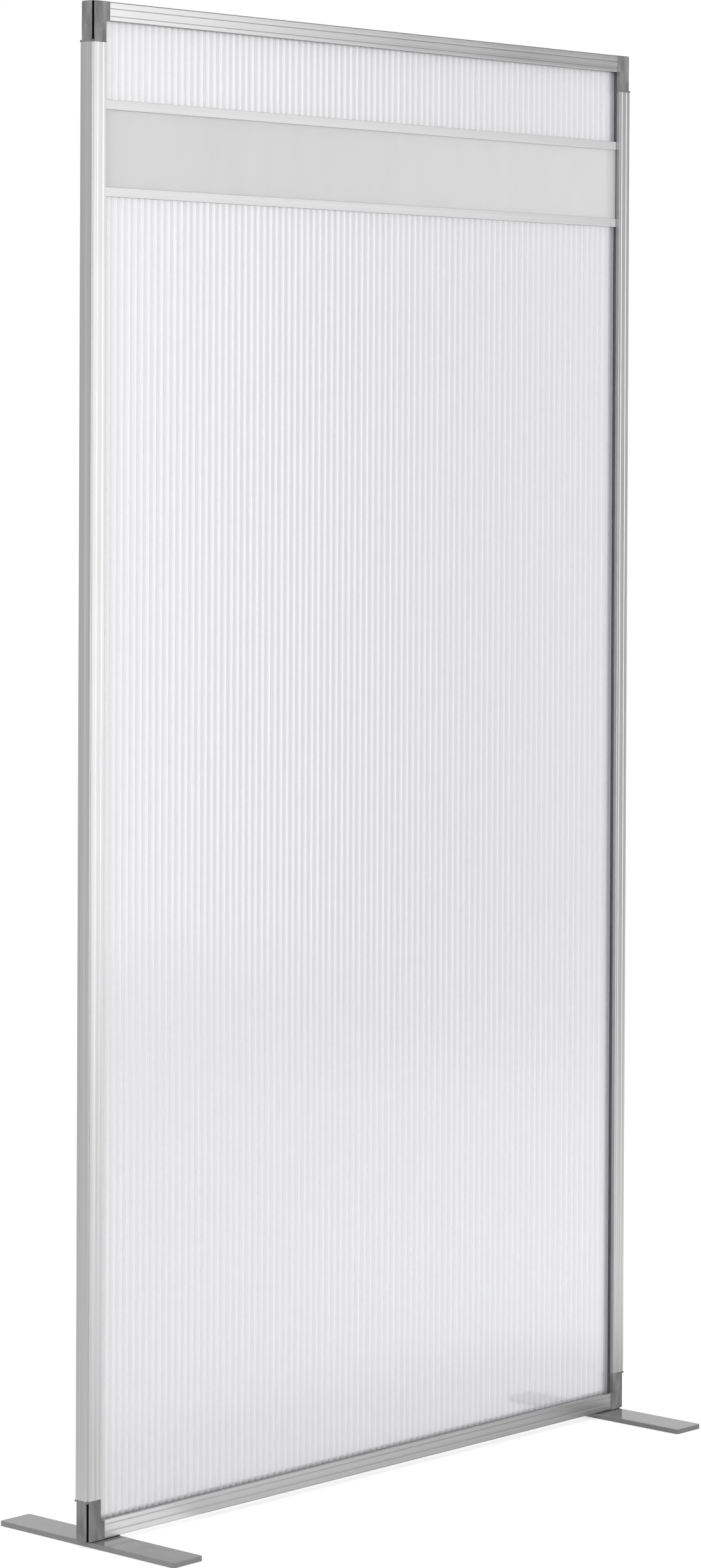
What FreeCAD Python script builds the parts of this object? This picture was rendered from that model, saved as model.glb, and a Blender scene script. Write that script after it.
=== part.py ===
import FreeCAD, Part
import math
import os

from FreeCAD import Vector

# A free-standing screen: an aluminium frame on two flat steel feet, filled with two translucent
# twin-wall sheets and a solid pale window between them. Millimetres. X runs along the width, Y away
# from the front and Z up, with the origin on the floor below the middle of the screen.

# Frame
frame_width = 1000.0
frame_height = 1800.0

# Extrusion of the posts and the rails, with its channel floor measured from the outer face
profile_size = 22.0
profile_wall = 1.5
channel_floor = 12.0
inner_edge_round = 0.5
channel_edge_round = 0.3
groove_width = 1.4
groove_depth = 0.7
inner_groove_inset = 4.9
outer_groove_inset = 13.8
edge_slot_width = 0.9
edge_slot_depth = 3.0
edge_slot_round = 0.4

# Cast corner pieces
corner_post_reach = 26.0
corner_rail_reach = 6.0
corner_edge_round = 0.4
slit_width = 2.3
slit_depth = 5.0
slit_edge_round = 0.8
slit_lip = 2.3
slit_flare_width = 2.2
slit_flare_height = 3.5
spigot_length = 35.0
spigot_lead = 1.0
spigot_clearance = 0.1

# Sheets and the liners of their channels
sheet_thickness = 8.0
sheet_skin = 0.5
rib_thickness = 0.4
rib_pitch = 11.1
sheet_edge_gap = 0.5
liner_thickness = 1.4
liner_clearance = 0.1

# Window band and its joint strips
upper_panel_show = 92.0
window_show = 91.0
strip_height = 11.0
strip_wall = 1.4
strip_web = 1.5
strip_clearance = 0.1
strip_end_gap = 0.3
strip_edge_round = 0.4

# Feet and shims
foot_width = 48.0
foot_length = 290.0
foot_thickness = 6.0
foot_inset = 7.0
foot_corner_round = 2.5
foot_edge_round = 0.6
shim_thickness = 1.0
shim_inset = 0.8

# Countersunk foot screws and their threaded sleeves
screw_spacing = 24.0
screw_radius = 3.0
screw_head_radius = 6.0
screw_head_recess = 0.3
screw_socket_width = 4.0
screw_socket_depth = 2.2
screw_hole_clearance = 0.3
screw_seat_clearance = 0.1
thread_clearance = 0.1
insert_radius = 4.5
insert_clearance = 0.05
insert_cover = 1.8
screw_tip_gap = 0.4

# How far a cutting shape runs past what it cuts, and the shortest edge of an outline
overrun = 1.0
shortest_edge = 1e-6

# Sizes that follow from those above
half_width = frame_width / 2
half_profile = profile_size / 2
frame_bottom = foot_thickness + shim_thickness
frame_top = frame_bottom + frame_height
corner_height = profile_size + corner_post_reach
corner_length = profile_size + corner_rail_reach
channel_width = sheet_thickness + 2 * (liner_thickness + liner_clearance)
sheet_half_width = half_width - channel_floor - liner_thickness - sheet_edge_gap
strip_socket_half = sheet_thickness / 2 + strip_clearance
upper_strip_middle = frame_top - profile_size - upper_panel_show - strip_height / 2
lower_strip_middle = upper_strip_middle - window_show - strip_height
foot_middle = foot_inset + foot_width / 2
screw_places = (foot_middle - screw_spacing / 2, foot_middle + screw_spacing / 2)
screw_hole_radius = screw_radius + screw_hole_clearance
insert_low = profile_wall + spigot_clearance
insert_high = channel_floor - profile_wall - spigot_clearance - insert_cover

along_x = Vector(1, 0, 0)
along_y = Vector(0, 1, 0)
along_z = Vector(0, 0, 1)
front, back = -1, 1
left, right = -1, 1
up, down = 1, -1


# Helpers for outlines and placing
def rounded_outline(corners):
    """Closed flat wire through (x, y, radius) corners, with a tangent arc where there is a radius."""
    edges = []
    points = [Vector(x, y, 0) for x, y, radius in corners]
    joins = []
    for index, here in enumerate(points):
        radius = corners[index][2]
        before = (points[index - 1] - here).normalize()
        after = (points[(index + 1) % len(points)] - here).normalize()
        half_angle = before.getAngle(after) / 2
        reach = radius / math.tan(half_angle)
        to_arc = radius / math.sin(half_angle) - radius
        if radius:
            middle = here + (before + after).normalize() * to_arc
        else:
            middle = here
        joins.append((here + before * reach, middle, here + after * reach))
    for index, (start, middle, end) in enumerate(joins):
        last_end = joins[index - 1][2]
        if not last_end.isEqual(start, shortest_edge):
            edges.append(Part.LineSegment(last_end, start).toShape())
        if not start.isEqual(end, shortest_edge):
            edges.append(Part.Arc(start, middle, end).toShape())
    return Part.Wire(edges)


def sharp_outline(points):
    return rounded_outline([(x, y, 0) for x, y in points])


def rectangle(x_low, x_high, y_low, y_high):
    return sharp_outline([(x_low, y_low), (x_high, y_low), (x_high, y_high), (x_low, y_high)])


def prism(wires, length):
    """Solid of the given length along Z from an outline and any holes inside it."""
    return Part.makeFace(wires, "Part::FaceMakerBullseye").extrude(along_z * length)


def placed(shape, origin, x_to, z_to):
    """The shape turned so that its own X and Z lie along the given directions, and moved."""
    y_to = z_to.cross(x_to)
    turned = FreeCAD.Rotation(x_to, y_to, z_to, "XZY")
    moved = shape.copy()
    moved.Placement = FreeCAD.Placement(origin, turned)
    return moved


def box_between(low, high):
    size = high - low
    return Part.makeBox(size.x, size.y, size.z, low)


def upright_cylinder(radius, x, z_low, z_high):
    return Part.makeCylinder(radius, z_high - z_low, Vector(x, 0, z_low))


# The extrusion's section: X from the outer face to the inner face, Y from front to back
def diagonal_slot(width, depth, edge_round, side):
    """Corners of a slot at 45 degrees into one outer edge, from the outer face to the side's face."""
    mouth = width / math.sqrt(2)
    near = (depth - width / 2) / math.sqrt(2)
    far = (depth + width / 2) / math.sqrt(2)
    return [
        (0, side * (half_profile - mouth), edge_round),
        (near, side * (half_profile - far), 0),
        (far, side * (half_profile - near), 0),
        (mouth, side * half_profile, edge_round),
    ]


def grooves(side):
    corners = []
    for inset in (outer_groove_inset, inner_groove_inset):
        middle = profile_size - inset
        corners.append((middle - groove_width / 2, side * half_profile, 0))
        corners.append((middle, side * (half_profile - groove_depth), 0))
        corners.append((middle + groove_width / 2, side * half_profile, 0))
    return corners


def half_section(side):
    slot = diagonal_slot(edge_slot_width, edge_slot_depth, edge_slot_round, side)
    channel_wall = side * channel_width / 2
    return slot + grooves(side) + [
        (profile_size, side * half_profile, inner_edge_round),
        (profile_size, channel_wall, channel_edge_round),
        (channel_floor, channel_wall, 0),
    ]


def chamber(clearance):
    """Outline of the hollow behind the outer face, drawn in all round by the clearance."""
    low = profile_wall + clearance
    high = channel_floor - profile_wall - clearance
    wide = half_profile - profile_wall - clearance
    slant = (edge_slot_depth + profile_wall + clearance) * math.sqrt(2)
    slant_wide = half_profile - slant + low
    slant_low = slant - half_profile + wide
    return sharp_outline([
        (low, -slant_wide), (slant_low, -wide), (high, -wide),
        (high, wide), (slant_low, wide), (low, slant_wide),
    ])


def side_hollow(side):
    """Outline of the small hollow between the channel and the front or the back face."""
    ends = (side * (channel_width / 2 + profile_wall), side * (half_profile - profile_wall))
    return rectangle(channel_floor, profile_size - profile_wall, min(ends), max(ends))


def extrusion(length):
    outline = rounded_outline(half_section(front) + half_section(back)[::-1])
    return prism([outline, chamber(0), side_hollow(front), side_hollow(back)], length)


def post(side):
    length = frame_height - 2 * corner_height
    origin = Vector(side * half_width, 0, frame_bottom + corner_height)
    return placed(extrusion(length), origin, along_x * -side, along_z)


def rail(height, inward):
    length = frame_width - 2 * corner_length
    origin = Vector(corner_length - half_width, 0, height)
    return placed(extrusion(length), origin, along_z * inward, along_x)


def bottom_rail():
    drilled = rail(frame_bottom, up)
    z_low = frame_bottom - overrun
    z_high = frame_bottom + profile_wall + overrun
    for side in (left, right):
        for place in screw_places:
            x = side * (half_width - place)
            drilled = drilled.cut(upright_cylinder(screw_hole_radius, x, z_low, z_high))
    return drilled


# Corner piece: X from its outer side inwards, Z from its outer end along the post
def corner_block():
    outline = [
        Vector(0, -half_profile, 0),
        Vector(corner_length, -half_profile, 0),
        Vector(corner_length, -half_profile, profile_size),
        Vector(profile_size, -half_profile, profile_size),
        Vector(profile_size, -half_profile, corner_height),
        Vector(0, -half_profile, corner_height),
    ]
    face = Part.Face(Part.makePolygon(outline + outline[:1]))
    block = face.extrude(along_y * profile_size)
    return block.makeFillet(corner_edge_round, block.Edges)


def slit(side):
    """What is cut away for the diagonal slit in one outer edge, up to the lip beside the post."""
    slot = diagonal_slot(slit_width, slit_depth, slit_edge_round, side)
    mouth = slit_width / math.sqrt(2) + slit_edge_round / math.tan(math.pi / 8)
    outside = side * (half_profile + overrun)
    corners = [(0, side * (half_profile - mouth), 0)] + slot + [
        (mouth, side * half_profile, 0),
        (mouth, outside, 0),
        (-overrun, outside, 0),
        (-overrun, side * (half_profile - mouth), 0),
    ]
    cut = prism([rounded_outline(corners)], overrun + corner_height - slit_lip)
    cut.translate(along_z * -overrun)
    return cut


def slit_flare(side):
    """What is cut away to widen the slit's open end, where a link's tongue slides in."""
    half = slit_width / 2
    wide = half + slit_flare_width * (slit_flare_height + overrun) / slit_flare_height
    outline = sharp_outline([
        (-wide, -overrun), (wide, -overrun), (half, slit_flare_height), (-half, slit_flare_height),
    ])
    inward = Vector(1, -side, 0).normalize()
    start = along_y * side * half_profile - inward * overrun
    return placed(prism([outline], overrun + slit_depth), start, along_z.cross(inward), inward)


def spigot():
    """Tongue that fills the extrusion's hollow, with a root inside the block and a tapered tip."""
    length = spigot_length + overrun
    plain = prism([chamber(spigot_clearance)], length)
    end_edges = [edge for edge in plain.Edges if edge.BoundBox.ZMin > length - spigot_lead]
    return plain.makeChamfer(spigot_lead, end_edges)


def corner_piece():
    piece = corner_block()
    channel = box_between(
        Vector(channel_floor, -channel_width / 2, channel_floor),
        Vector(corner_length + overrun, channel_width / 2, corner_height + overrun),
    )
    piece = piece.cut([channel, slit(front), slit(back), slit_flare(front), slit_flare(back)])
    post_spigot = placed(spigot(), along_z * (corner_height - overrun), along_x, along_z)
    rail_spigot = placed(spigot(), along_x * (corner_length - overrun), along_z, along_x)
    return piece.fuse([post_spigot, rail_spigot]).removeSplitter()


def foot_corner_piece():
    """Corner piece bored from below for the foot's screws and their sleeves."""
    piece = corner_piece()
    sleeve_radius = insert_radius + insert_clearance
    for place in screw_places:
        hole = upright_cylinder(screw_hole_radius, place, -overrun, insert_high + screw_tip_gap)
        seat = upright_cylinder(sleeve_radius, place, insert_low, insert_high)
        piece = piece.cut([hole, seat])
    return piece


def corner(piece, side, height, inward):
    return placed(piece, Vector(side * half_width, 0, height), along_x * -side, along_z * inward)


# Sheets, channel liners and joint strips
def twin_wall_sheet(z_low, z_high):
    half = sheet_thickness / 2
    width = 2 * sheet_half_width
    cells = round(width / rib_pitch)
    pitch = (width - rib_thickness) / cells
    hollow = half - sheet_skin
    wires = [rectangle(-sheet_half_width, sheet_half_width, -half, half)]
    for index in range(cells):
        start = index * pitch - sheet_half_width
        wires.append(rectangle(start + rib_thickness, start + pitch, -hollow, hollow))
    sheet = prism(wires, z_high - z_low)
    sheet.translate(along_z * z_low)
    return sheet


def solid_sheet(z_low, z_high):
    half = sheet_thickness / 2
    return box_between(Vector(-sheet_half_width, -half, z_low), Vector(sheet_half_width, half, z_high))


def liner(length):
    """Soft U section that lines a channel, in the same section axes as the extrusion."""
    outer = channel_width / 2
    inner = outer - liner_thickness
    outline = sharp_outline([
        (channel_floor, -outer), (profile_size, -outer), (profile_size, -inner),
        (channel_floor + liner_thickness, -inner), (channel_floor + liner_thickness, inner),
        (profile_size, inner), (profile_size, outer), (channel_floor, outer),
    ])
    return prism([outline], length)


def post_liner(side):
    origin = Vector(side * half_width, 0, frame_bottom + corner_height)
    return placed(liner(frame_height - 2 * corner_height), origin, along_x * -side, along_z)


def rail_liner(height, inward):
    origin = Vector(corner_length - half_width, 0, height)
    return placed(liner(frame_width - 2 * corner_length), origin, along_z * inward, along_x)


def joint_strip(middle):
    thick = strip_socket_half + strip_wall
    high = strip_height / 2
    web = strip_web / 2
    outline = rounded_outline([
        (-thick, -high, strip_edge_round), (-strip_socket_half, -high, 0), (-strip_socket_half, -web, 0),
        (strip_socket_half, -web, 0), (strip_socket_half, -high, 0), (thick, -high, strip_edge_round),
        (thick, high, strip_edge_round), (strip_socket_half, high, 0), (strip_socket_half, web, 0),
        (-strip_socket_half, web, 0), (-strip_socket_half, high, 0), (-thick, high, strip_edge_round),
    ])
    half_length = half_width - profile_size - strip_end_gap
    return placed(prism([outline], 2 * half_length), Vector(-half_length, 0, middle), along_y, along_x)


# Feet, shims and fixings
def foot(side):
    half = foot_width / 2
    reach = foot_length / 2
    outline = rounded_outline([
        (x, y, foot_corner_round)
        for x, y in ((-half, -reach), (half, -reach), (half, reach), (-half, reach))
    ])
    plate = prism([outline], foot_thickness)
    top_edges = [edge for edge in plate.Edges if edge.BoundBox.ZMin > foot_thickness / 2]
    plate = plate.makeFillet(foot_edge_round, top_edges)
    plate.translate(Vector(side * (half_width - foot_middle), 0, 0))
    mouth = screw_head_radius + screw_head_recess + screw_seat_clearance
    for place in screw_places:
        x = side * (half_width - place)
        hole = upright_cylinder(screw_hole_radius, x, -overrun, foot_thickness + overrun)
        sink = Part.makeCone(mouth, 0, mouth, Vector(x, 0, 0))
        plate = plate.cut([hole, sink])
    return plate


def foot_shim(side):
    middle = side * (half_width - foot_middle)
    x_reach = foot_width / 2 - shim_inset
    y_reach = half_profile - shim_inset
    pad = box_between(
        Vector(middle - x_reach, -y_reach, foot_thickness),
        Vector(middle + x_reach, y_reach, frame_bottom),
    )
    z_low = foot_thickness - overrun
    z_high = frame_bottom + overrun
    for place in screw_places:
        x = side * (half_width - place)
        pad = pad.cut(upright_cylinder(screw_hole_radius, x, z_low, z_high))
    return pad


def foot_screw(x):
    head_height = screw_head_radius - screw_radius
    head = Part.makeCone(screw_head_radius, screw_radius, head_height)
    shank = upright_cylinder(screw_radius, 0, 0, frame_bottom + insert_high - screw_head_recess)
    corner_reach = screw_socket_width / math.sqrt(3)
    turns = [index * math.pi / 3 for index in range(6)]
    hexagon = [(corner_reach * math.cos(turn), corner_reach * math.sin(turn)) for turn in turns]
    socket = prism([sharp_outline(hexagon)], screw_socket_depth)
    screw = head.fuse(shank).cut(socket).removeSplitter()
    screw.translate(Vector(x, 0, screw_head_recess))
    return screw


def foot_insert(x):
    z_low = frame_bottom + insert_low
    z_high = frame_bottom + insert_high
    sleeve = upright_cylinder(insert_radius, x, z_low, z_high)
    thread = upright_cylinder(screw_radius + thread_clearance, x, z_low - overrun, z_high + overrun)
    return sleeve.cut(thread)


def pair(maker, side):
    return Part.makeCompound([maker(side * (half_width - place)) for place in screw_places])


# The whole screen, piece by piece
top_corner = corner_piece()
bottom_corner = foot_corner_piece()
nodes = {
    "left_post": post(left),
    "right_post": post(right),
    "top_rail": rail(frame_top, down),
    "bottom_rail": bottom_rail(),
    "corner_top_left": corner(top_corner, left, frame_top, down),
    "corner_top_right": corner(top_corner, right, frame_top, down),
    "corner_bottom_left": corner(bottom_corner, left, frame_bottom, up),
    "corner_bottom_right": corner(bottom_corner, right, frame_bottom, up),
    "lower_panel": twin_wall_sheet(
        frame_bottom + channel_floor + liner_thickness, lower_strip_middle - strip_web / 2
    ),
    "window_pane": solid_sheet(
        lower_strip_middle + strip_web / 2, upper_strip_middle - strip_web / 2
    ),
    "upper_panel": twin_wall_sheet(
        upper_strip_middle + strip_web / 2,
        frame_top - channel_floor - liner_thickness - sheet_edge_gap,
    ),
    "lower_joint_strip": joint_strip(lower_strip_middle),
    "upper_joint_strip": joint_strip(upper_strip_middle),
    "left_liner": post_liner(left),
    "right_liner": post_liner(right),
    "top_liner": rail_liner(frame_top, down),
    "bottom_liner": rail_liner(frame_bottom, up),
}
for name, side in (("left", left), ("right", right)):
    nodes[name + "_foot"] = foot(side)
    nodes[name + "_foot_shim"] = foot_shim(side)
    nodes[name + "_foot_screws"] = pair(foot_screw, side)
    nodes[name + "_foot_inserts"] = pair(foot_insert, side)

os.makedirs("parts", exist_ok=True)
for name, shape in nodes.items():
    shape.exportStep("parts/" + name + ".step")
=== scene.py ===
import math

import bpy
from mathutils import Matrix, Vector


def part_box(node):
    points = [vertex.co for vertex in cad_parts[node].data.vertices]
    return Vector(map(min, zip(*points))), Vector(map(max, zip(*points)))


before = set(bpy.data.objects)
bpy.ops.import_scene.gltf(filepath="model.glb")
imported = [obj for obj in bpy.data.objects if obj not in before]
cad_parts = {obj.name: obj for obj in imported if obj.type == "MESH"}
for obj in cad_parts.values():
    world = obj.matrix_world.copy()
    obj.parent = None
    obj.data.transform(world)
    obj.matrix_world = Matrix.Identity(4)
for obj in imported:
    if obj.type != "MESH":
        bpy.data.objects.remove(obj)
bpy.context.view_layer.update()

# Posts and rails
# Four lengths of one hollow aluminium extrusion, drawn through a die and satin anodised.
# The die leaves fine lines along each length. The corner pieces' tongues hold the ends.


class Socket:
    """One output of a material's nodes, so that shader sums are written as plain expressions."""

    def __init__(self, output):
        self.output = output

    def node(self, kind, settings=None, inputs=None, output=0):
        """A new node beside this one: its settings first, then the values or links of its sockets."""
        tree = self.output.id_data
        made = tree.nodes.new(kind)
        for name, value in (settings or {}).items():
            setattr(made, name, value)
        for key, value in (inputs or {}).items():
            socket = live_socket(made.inputs, key)
            if isinstance(value, Socket):
                tree.links.new(value.output, socket)
            else:
                socket.default_value = value
        return Socket(live_socket(made.outputs, output))

    def math(self, operation, *values):
        return self.node("ShaderNodeMath", {"operation": operation}, dict(enumerate(values)))

    def __add__(self, other):
        return self.math("ADD", self, other)

    __radd__ = __add__

    def __sub__(self, other):
        return self.math("SUBTRACT", self, other)

    def __rsub__(self, other):
        return self.math("SUBTRACT", other, self)

    def __mul__(self, other):
        return self.math("MULTIPLY", self, other)

    __rmul__ = __mul__

    def __truediv__(self, other):
        return self.math("DIVIDE", self, other)

    def __pow__(self, other):
        return self.math("POWER", self, other)

    def __abs__(self):
        return self.math("ABSOLUTE", self)


def live_socket(sockets, key):
    """The socket with this name, or at this place, among those that the node's settings leave in use."""
    live = [socket for socket in sockets if socket.enabled]
    if isinstance(key, int):
        return live[key]
    return next(socket for socket in live if socket.name == key)


def colour(red, green, blue):
    """A linear colour from screen levels of 0 to 255."""
    levels = [level / 255 for level in (red, green, blue)]
    linear = [v / 12.92 if v < 0.04045 else ((v + 0.055) / 1.055) ** 2.4 for v in levels]
    return (*linear, 1)


def new_finish(name, even_values):
    """A material with one Principled shader, and the place on the surface to work its looks out from."""
    material = bpy.data.materials.new(name)
    material.use_nodes = True
    shader = material.node_tree.nodes["Principled BSDF"]
    for socket, value in even_values.items():
        shader.inputs[socket].default_value = value
    return material, Socket(shader.outputs[0]).node("ShaderNodeTexCoord", None, None, "Object")


def feed(material, looks):
    """Links what changes over the surface to the material's shader."""
    shader = material.node_tree.nodes["Principled BSDF"]
    for socket, value in looks.items():
        material.node_tree.links.new(value.output, shader.inputs[socket])


def noise(place, per_metre, detail=2.0):
    """Smooth random values about a half, with so many changes per metre along X, Y and Z."""
    spread = place.node("ShaderNodeVectorMath", {"operation": "MULTIPLY"}, {0: place, 1: per_metre})
    return place.node("ShaderNodeTexNoise", None, {"Vector": spread, "Scale": 1.0, "Detail": detail})


def between(factor, first, second):
    """A colour between two others."""
    return factor.node("ShaderNodeMix", {"data_type": "RGBA"}, {"Factor": factor, "A": first, "B": second})


def fade(value, start, end):
    """Rises smoothly from 0 to 1 as the value goes from start to end."""
    ends = {"Value": value, "From Min": start, "From Max": end}
    return value.node("ShaderNodeMapRange", {"interpolation_type": "SMOOTHSTEP"}, ends)


def bump(height, depth, strength=1.0):
    """A normal for a surface whose height, from 0 to 1, stands for so many metres."""
    return height.node("ShaderNodeBump", None, {"Height": height, "Distance": depth, "Strength": strength})


def finish_nodes(material, *names):
    for name in names:
        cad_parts[name].material_slots[0].material = material


def drawn_aluminium(name, along, dull, bright, roughness):
    """Satin anodised aluminium with fine die lines along one axis, 0 for X or 2 for Z."""
    material, place = new_finish(name, {"Metallic": 1.0})
    die_lines_per_metre, streaks_per_metre, along_share = 2600.0, 420.0, 0.0012
    clouds_per_metre, line_depth, line_strength = 9.0, 0.00002, 0.35
    line_spread = [die_lines_per_metre] * 3
    line_spread[along] *= along_share
    streak_spread = [streaks_per_metre] * 3
    streak_spread[along] *= along_share
    lines = noise(place, line_spread, 3.0)
    streaks = noise(place, streak_spread)
    clouds = noise(place, (clouds_per_metre,) * 3, 4.0)
    feed(material, {
        "Base Color": between(fade(streaks * 0.6 + lines * 0.4, 0.3, 0.7), dull, bright),
        "Roughness": roughness + (streaks - 0.5) * 0.12 + (clouds - 0.5) * 0.08,
        "Normal": bump(lines, line_depth, line_strength),
    })
    return material


along_x, along_z = 0, 2
post_metal = drawn_aluminium(
    "post_aluminium", along_z, colour(156, 156, 156), colour(184, 184, 184), roughness=0.4
)
rail_metal = drawn_aluminium(
    "rail_aluminium", along_x, colour(177, 177, 177), colour(187, 187, 187), roughness=0.35
)
finish_nodes(post_metal, "left_post", "right_post")
finish_nodes(rail_metal, "top_rail", "bottom_rail")

# Corner pieces
# Four grey corner castings with a tongue into each extrusion and a slit in their outer edges, black inside
# with painted shade.
# They have a fine cast grain under satin paint, and are pressed in and held by their tongues.


def axis_value(vector, axis):
    return vector.node("ShaderNodeSeparateXYZ", None, {"Vector": vector}, axis)


def in_slit(place, width, shallow, deep):
    """1 on the walls of the slit in each upright outer edge of the frame, deeper than its mouth."""
    low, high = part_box("left_post")
    from_side = -low.x - abs(axis_value(place, "X"))
    from_face = high.y - abs(axis_value(place, "Y"))
    depth = (from_side + from_face) / math.sqrt(2)
    off_middle = abs(from_side - from_face) / math.sqrt(2)
    return fade(depth, shallow, deep) * (1 - fade(off_middle, width * 0.505, width * 0.535))


def satin_grey(name, base, worn, roughness, grain_per_metre, grain_depth, shine=0.5, slit_width=0.0):
    """Grey paint with a fine grain, lighter in upright cloudy patches, and painted shade, dead black, inside
    a slit.
    """
    material, place = new_finish(name, {"IOR": 1.5, "Specular IOR Level": shine})
    grain = noise(place, (grain_per_metre,) * 3, 3.0)
    clouds = noise(place, (80.0, 80.0, 25.0), 5.0)
    paint = between(fade(clouds * 0.7 + grain * 0.3, 0.35, 0.7), base, worn)
    gloss_loss = roughness + (clouds - 0.5) * 0.16 + (grain - 0.5) * 0.1
    if slit_width:
        # Painted shade: the slit's walls, deeper than its mouth, are painted near black and made fully rough.
        mouth_depth, black_depth = 0.0008, 0.0012
        slit = in_slit(place, slit_width, mouth_depth, black_depth)
        paint = between(slit, paint, colour(2, 2, 2))
        gloss_loss = gloss_loss + slit
    feed(material, {
        "Base Color": paint,
        "Roughness": gloss_loss,
        "Normal": bump(grain, grain_depth, 0.4),
    })
    return material


corner_paint = satin_grey(
    "corner_grey", colour(104, 104, 104), colour(142, 142, 142), roughness=0.36,
    grain_per_metre=1500.0, grain_depth=0.00006, shine=0.1, slit_width=0.0023,
)
finish_nodes(
    corner_paint, "corner_top_left", "corner_top_right", "corner_bottom_left", "corner_bottom_right"
)

# Channel liners
# Soft grey U strips pushed into the channels of the extrusions, so that the sheets sit without rattle.
# They are extruded in dark plasticised vinyl and are seen only through the edges of the sheets.
liner_vinyl = satin_grey(
    "liner_vinyl", colour(78, 78, 82), colour(92, 92, 96), roughness=0.55,
    grain_per_metre=900.0, grain_depth=0.00004,
)
finish_nodes(liner_vinyl, "left_liner", "right_liner", "top_liner", "bottom_liner")

# Twin-wall sheets
# Two translucent polycarbonate sheets, each of two thin skins joined by upright ribs in one extrusion.
# Both slide into the channels, and their cells show as soft upright bands of light and grey, partly painted
# shade.


def twin_wall(name, node):
    """Milky sheet whose skins sag between the ribs, with painted shade across each cell, clearer with painted
    shade at the right post, and darker with dust and painted shade at the rail.
    """
    cells, rib_thickness, sag_depth = 88, 0.0004, 0.00024
    foot_start, foot_end = 0.0002, 0.0016
    clear_shade_start, clear_shade_end, clear_shade_waver = 0.015, 0.005, 0.006
    dust_and_shade_height, dust_and_shade_waver, dust_and_shade_share = 0.007, 0.003, 0.45
    skin_milk, foot_milk, rib_milk, milk_lost = 0.3, 0.04, 0.34, 0.6
    plain_shine, grazing_shine = 0.035, 0.96
    low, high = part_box(node)
    pitch = (high.x - low.x - rib_thickness) / cells
    material, place = new_finish(name, {"IOR": 1.58})
    face_normal = place.node("ShaderNodeNewGeometry", None, None, "Normal")
    across = axis_value(place, "X")
    steps = (across - (low.x + rib_thickness / 2)) / pitch
    past_rib = steps.math("FRACT", steps)
    to_rib = (0.5 - abs(past_rib - 0.5)) * pitch
    foot = 1 - fade(to_rib, foot_start, foot_end)
    sag = (1 - to_rib * (2 / pitch)) ** 2.0
    on_rib = fade(abs(axis_value(face_normal, "X")), 0.4, 0.6)
    ripple = noise(place, (500.0, 500.0, 1.0), 3.0)
    clouds = noise(place, (14.0, 14.0, 3.0), 4.0)
    post_face = -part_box("left_post")[1].x
    rail_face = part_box("bottom_rail")[1].z
    wavering_x = across + (ripple - 0.5) * clear_shade_waver
    wavering_z = axis_value(place, "Z") + (ripple - 0.5) * dust_and_shade_waver
    # Towards the right post the sheet is clearer, and its colour is darker there as painted shade of the
    # channel.
    at_post = fade(wavering_x, post_face - clear_shade_start, post_face - clear_shade_end)
    # Just above the bottom rail the sheet is darker, as dust and painted shade where it stands in the rail.
    at_rail = 1 - fade(wavering_z, rail_face, rail_face + dust_and_shade_height)
    even_milk = skin_milk + (ripple - 0.5) * 0.1 + (clouds - 0.5) * 0.04 + foot * foot_milk
    milk = even_milk * (1 - at_post * milk_lost)
    # Painted shade across each cell: the skin is grey just past each rib and whiter towards the next.
    cell_shaded_skin = between(past_rib, colour(232, 232, 234), colour(253, 253, 255))
    post_shaded_skin = between(at_post, cell_shaded_skin, colour(128, 128, 140))
    dust_and_shade_skin = between(at_rail * dust_and_shade_share, post_shaded_skin, colour(140, 140, 146))
    hollow = bump(sag + ripple * 0.015, sag_depth)
    feed(material, {
        "Base Color": between(on_rib, dust_and_shade_skin, colour(236, 236, 239)),
        "Alpha": milk * (1 - on_rib) + on_rib * rib_milk,
        "Roughness": 0.3 + (ripple - 0.5) * 0.2,
        "Normal": hollow,
    })
    nodes = material.node_tree.nodes
    body = Socket(nodes["Principled BSDF"].outputs[0])
    gloss = place.node("ShaderNodeBsdfGlossy", None, {"Roughness": 0.16, "Normal": hollow})
    facing = place.node("ShaderNodeLayerWeight", None, {"Blend": 0.5}, "Facing")
    shine = plain_shine + grazing_shine * facing ** 5.0
    glossy_skin = place.node("ShaderNodeMixShader", None, {0: shine, 1: body, 2: gloss})
    material.node_tree.links.new(glossy_skin.output, nodes["Material Output"].inputs["Surface"])
    return material


for sheet in ("lower_panel", "upper_panel"):
    finish_nodes(twin_wall(sheet + "_polycarbonate", sheet), sheet)

# Window
# One solid acrylic sheet between the two twin-wall sheets, cut square and slid into the channels.
# It is lightly clouded with a grey cast, and its polished face has faint wipe marks.


def clouded_acrylic(name, base, wiped):
    """Smooth acrylic that lets a quarter of the light straight through, duller where it was wiped."""
    clouding, polish, wipe_dulling = 0.75, 0.07, 0.04
    material, place = new_finish(name, {"IOR": 1.49, "Specular IOR Level": 0.1})
    wipes = noise(place, (30.0, 30.0, 9.0), 5.0)
    feed(material, {
        "Base Color": between(fade(wipes, 0.3, 0.8), base, wiped),
        "Alpha": clouding + (wipes - 0.5) * 0.03,
        "Roughness": polish + fade(wipes, 0.5, 0.9) * wipe_dulling,
    })
    return material


window_acrylic = clouded_acrylic("window_acrylic", colour(213, 213, 213), colour(215, 215, 215))
finish_nodes(window_acrylic, "window_pane")

# Joint strips
# Two slim aluminium H strips, drawn and anodised like the rails, cut to the width between the posts.
# Each is pushed onto the edges of the two sheets that meet in it.
strip_metal = drawn_aluminium(
    "strip_aluminium", along_x, colour(182, 182, 182), colour(192, 192, 192), roughness=0.55
)
finish_nodes(strip_metal, "lower_joint_strip", "upper_joint_strip")

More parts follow.
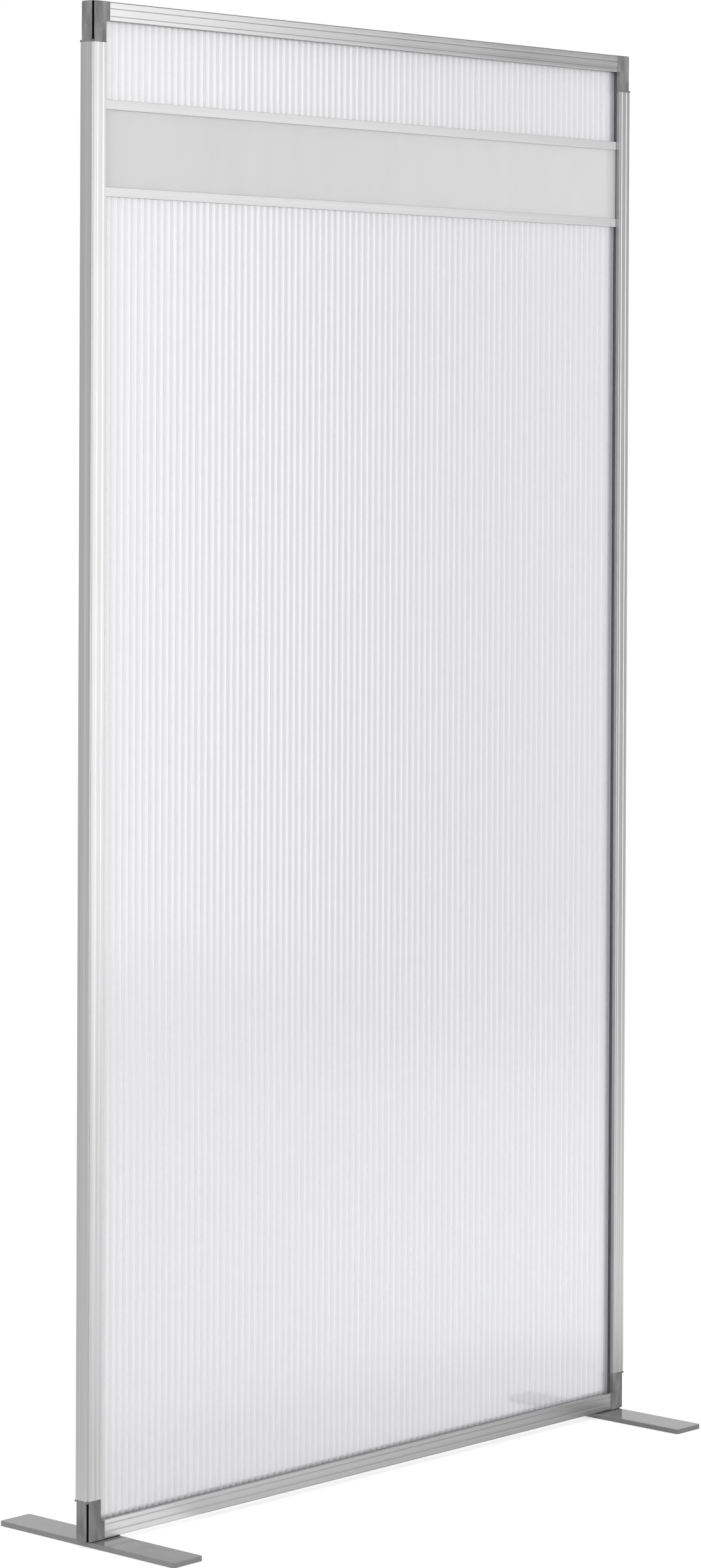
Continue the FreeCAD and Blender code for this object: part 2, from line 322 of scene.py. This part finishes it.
# Feet
# Two flat steel bars across the ends of the screen, sheared, rounded at the corners and painted grey.
# The paint is smooth and half glossy, so that the bar's top mirrors the frame that stands on it.
foot_paint = satin_grey(
    "foot_grey", colour(115, 115, 115), colour(121, 121, 121), roughness=0.14,
    grain_per_metre=420.0, grain_depth=0.00001,
)
finish_nodes(foot_paint, "left_foot", "right_foot")

# Shims
# Thin black rubber pads between the frame and each foot, cut from sheet and clamped by the screws. They take
# up unevenness, and their black is painted shadow standing in for the shade under the frame, seen only as a
# black line there.
shim_shadow_black = satin_grey(
    "shim_shadow_black", colour(22, 22, 22), colour(34, 34, 34), roughness=0.7,
    grain_per_metre=1100.0, grain_depth=0.00005,
)
finish_nodes(shim_shadow_black, "left_foot_shim", "right_foot_shim")

# Foot screws and sleeves
# Countersunk socket screws of zinced steel, driven from below into threaded brass sleeves.
# The sleeves are pressed into the corner castings, so only the screw heads show, under the feet.


def turned_metal(name, dull, bright):
    """Metal with the fine rings that a lathe leaves round an upright axis."""
    rings_per_metre, ring_depth, ring_strength = (600.0, 600.0, 3000.0), 0.00002, 0.3
    material, place = new_finish(name, {"Metallic": 1.0})
    rings = noise(place, rings_per_metre, 3.0)
    feed(material, {
        "Base Color": between(fade(rings, 0.3, 0.7), dull, bright),
        "Roughness": 0.3 + (rings - 0.5) * 0.2,
        "Normal": bump(rings, ring_depth, ring_strength),
    })
    return material


finish_nodes(
    turned_metal("screw_zinc", colour(170, 172, 176), colour(196, 198, 202)),
    "left_foot_screws", "right_foot_screws",
)
finish_nodes(
    turned_metal("sleeve_brass", colour(186, 154, 92), colour(206, 178, 116)),
    "left_foot_inserts", "right_foot_inserts",
)

# Floor
# A plain white studio floor of paper. Seen directly it is white near the screen and greys further out as
# painted falloff of light, and it keeps the soft shadow of the screen. Mirrored in what shines it is
# brighter, but for the part left of the screen.


def seen_rays(beside):
    """1 for the rays that show the backdrop: straight to the camera, in a reflection or through a pane."""
    seen = beside.node("ShaderNodeLightPath", None, None, "Is Camera Ray")
    for kind in ("Is Glossy Ray", "Is Transmission Ray"):
        seen = seen.math("MAXIMUM", seen, beside.node("ShaderNodeLightPath", None, None, kind))
    return seen


floor_half, floor_drop = 5.0, 0.0004
floor_mesh = bpy.data.meshes.new("floor")
floor_signs = ((-1, -1), (1, -1), (1, 1), (-1, 1))
floor_corners = [(x * floor_half, y * floor_half, -floor_drop) for x, y in floor_signs]
floor_mesh.from_pydata(floor_corners, [], [(0, 1, 2, 3)])
floor = bpy.data.objects.new("floor", floor_mesh)
bpy.context.scene.collection.objects.link(floor)
floor_glow, mirrored_level = 0.58, 1.6
floor_paper, floor_place = new_finish(
    "floor_paper", {"Roughness": 0.9, "Base Color": colour(198, 198, 198), "Emission Strength": floor_glow}
)
near_reach, far_reach = 1.5, 4.5
lit_start, lit_end = -0.8, -0.45
floor_x = axis_value(floor_place, "X")
floor_y = axis_value(floor_place, "Y")
# Painted falloff of light: seen directly, the floor is white near the screen and greys further out.
far_out = fade((floor_x * floor_x + floor_y * floor_y) ** 0.5, near_reach, far_reach)
floor_light_pool = between(far_out, colour(255, 255, 255), colour(225, 225, 225))
floor_seen = between(seen_rays(floor_place), colour(0, 0, 0), floor_light_pool)
lit_white = (mirrored_level, mirrored_level, mirrored_level, 1)
lit_floor = between(fade(floor_x, lit_start, lit_end), colour(255, 255, 255), lit_white)
in_mirror = floor_place.node("ShaderNodeLightPath", None, None, "Is Glossy Ray")
feed(floor_paper, {"Emission Color": between(in_mirror, floor_seen, lit_floor)})
floor_mesh.materials.append(floor_paper)

# Studio light
# A white surround, a large far soft box on the left and a small near one on the right light the screen.
# Two more boxes, and two cards of which one lies on the floor, are only mirrored in what shines.
world = bpy.data.worlds.new("studio")
bpy.context.scene.world = world
world.use_nodes = True
surround_level = 0.97
surround = world.node_tree.nodes["Background"]
surround.inputs["Color"].default_value = colour(255, 255, 255)
surround_seen = seen_rays(Socket(surround.outputs[0]))
surround_strength = surround_seen * (1 - surround_level) + surround_level
world.node_tree.links.new(surround_strength.output, surround.inputs["Strength"])


def soft_box(name, place, aim, width, height, radiance, mirrored):
    """A rectangular lamp turned to its aim, that either lights what is dull or is mirrored in what shines."""
    lamp = bpy.data.lights.new(name, "AREA")
    lamp.shape = "RECTANGLE"
    lamp.size = width
    lamp.size_y = height
    lamp.energy = radiance * math.pi * width * height
    lamp_object = bpy.data.objects.new(name, lamp)
    lamp_object.location = place
    lamp_object.rotation_mode = "QUATERNION"
    lamp_object.rotation_quaternion = (Vector(aim) - Vector(place)).to_track_quat("-Z", "Y")
    lamp_object.visible_camera = False
    lamp_object.visible_diffuse = not mirrored
    lamp_object.visible_glossy = mirrored
    bpy.context.scene.collection.objects.link(lamp_object)


def mirrored_card(name, corners, left_grey, right_grey):
    """A paper card seen only in reflections, that goes from one grey at its left end to another."""
    mesh = bpy.data.meshes.new(name)
    mesh.from_pydata(corners, [], [(0, 1, 2, 3)])
    card = bpy.data.objects.new(name, mesh)
    bpy.context.scene.collection.objects.link(card)
    paper, place = new_finish(name + "_paper", {"Roughness": 0.9})
    from_left = fade(axis_value(place, "X"), corners[0][0], corners[1][0])
    feed(paper, {"Base Color": between(from_left, left_grey, right_grey)})
    mesh.materials.append(paper)
    card.visible_camera = card.visible_diffuse = card.visible_shadow = card.visible_transmission = False


soft_box(
    "key_soft_box", (-8.8, -4.2, 3.5), (0.0, 0.0, 1.0), width=9.0, height=7.0, radiance=1.8, mirrored=False
)
soft_box(
    "fill_soft_box", (1.3, -1.1, 1.1), (0.45, 0.0, 1.1), width=1.0, height=2.2, radiance=1.1, mirrored=False
)
soft_box(
    "front_soft_box", (-2.6, -3.0, 1.3), (0.0, 0.0, 1.1), width=3.0, height=2.4, radiance=2.9, mirrored=True
)
soft_box(
    "right_soft_box", (1.1, -2.2, 1.3), (1.1, 0.0, 1.3), width=1.6, height=1.9, radiance=2.6, mirrored=True
)
stand_left, stand_right, stand_y, stand_top = 2.3, 3.5, -2.3, 2.6
mirrored_card(
    "standing_card",
    [
        (stand_left, stand_y, 0.0), (stand_right, stand_y, 0.0),
        (stand_right, stand_y, stand_top), (stand_left, stand_y, stand_top),
    ],
    colour(100, 100, 100), colour(10, 10, 10),
)
lie_left, lie_right, lie_front, lie_z = -0.3, 0.8, -0.4, -floor_drop / 2
mirrored_card(
    "lying_card",
    [
        (lie_left, lie_front, lie_z), (lie_right, lie_front, lie_z),
        (lie_right, 0.0, lie_z), (lie_left, 0.0, lie_z),
    ],
    colour(255, 255, 255), colour(195, 195, 195),
)

# Camera
# It stands to the left of the screen at about chest height, level but for a slight tilt, with the lens
# shifted down to take in the feet.
image_width, image_height = 1101, 2464
lens_in_pixels = 6924.2
centre_in_pixels = (514.57, 771.33)
camera_place = (-4.0988, -3.6752, 1.3014)
camera_heading, camera_tilt, camera_roll = 47.5515, -0.7172, 0.2478
camera = bpy.data.cameras.new("camera")
camera.lens = lens_in_pixels * camera.sensor_width / image_height
camera.shift_x = (image_width / 2 - centre_in_pixels[0]) / image_height
camera.shift_y = (centre_in_pixels[1] - image_height / 2) / image_height
camera.clip_end = 100.0
camera_object = bpy.data.objects.new("camera", camera)
bpy.context.scene.collection.objects.link(camera_object)
camera_object.matrix_world = (
    Matrix.Translation(camera_place)
    @ Matrix.Rotation(math.radians(-camera_heading), 4, "Z")
    @ Matrix.Rotation(math.radians(90 + camera_tilt), 4, "X")
    @ Matrix.Rotation(math.radians(camera_roll), 4, "Z")
)
bpy.context.scene.camera = camera_object
bpy.context.scene.view_settings.view_transform = "Standard"
